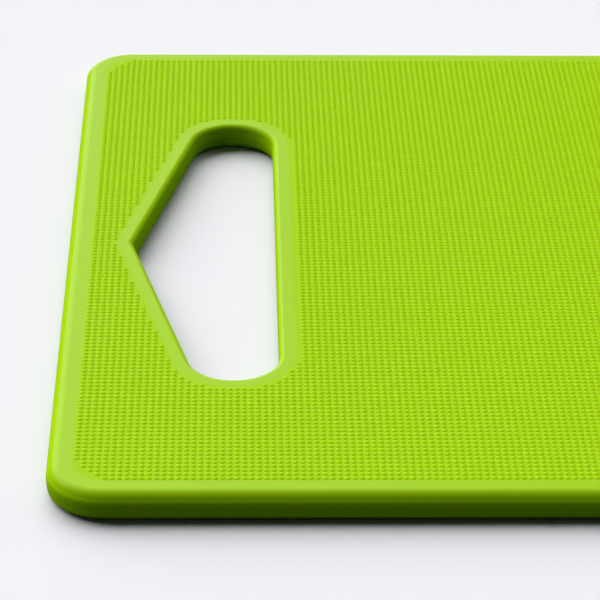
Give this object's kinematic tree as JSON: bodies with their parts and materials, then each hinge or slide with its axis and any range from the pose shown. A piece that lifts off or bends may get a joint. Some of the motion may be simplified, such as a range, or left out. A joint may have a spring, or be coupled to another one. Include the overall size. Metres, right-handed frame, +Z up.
{
  "type": "cutting board",
  "caption": "Flat plastic cutting board with rounded corners, a smooth rim, finely bumped faces and a pointed hand hole at one end for carrying or hanging.",
  "frame": {"origin": "centre of the board on the plane that it rests on", "axes": "+X along the board away from the hand hole, +Y across it, +Z up out of the work face"},
  "size_m": [0.45, 0.285, 0.0092],
  "materials": {
    "upper_half": "satin moulded polypropylene, lime green",
    "lower_half": "satin moulded polypropylene, lime green"
  },
  "bodies": {
    "root": {"upper_half": "upper_half", "lower_half": "lower_half"}
  },
  "joints": []
}
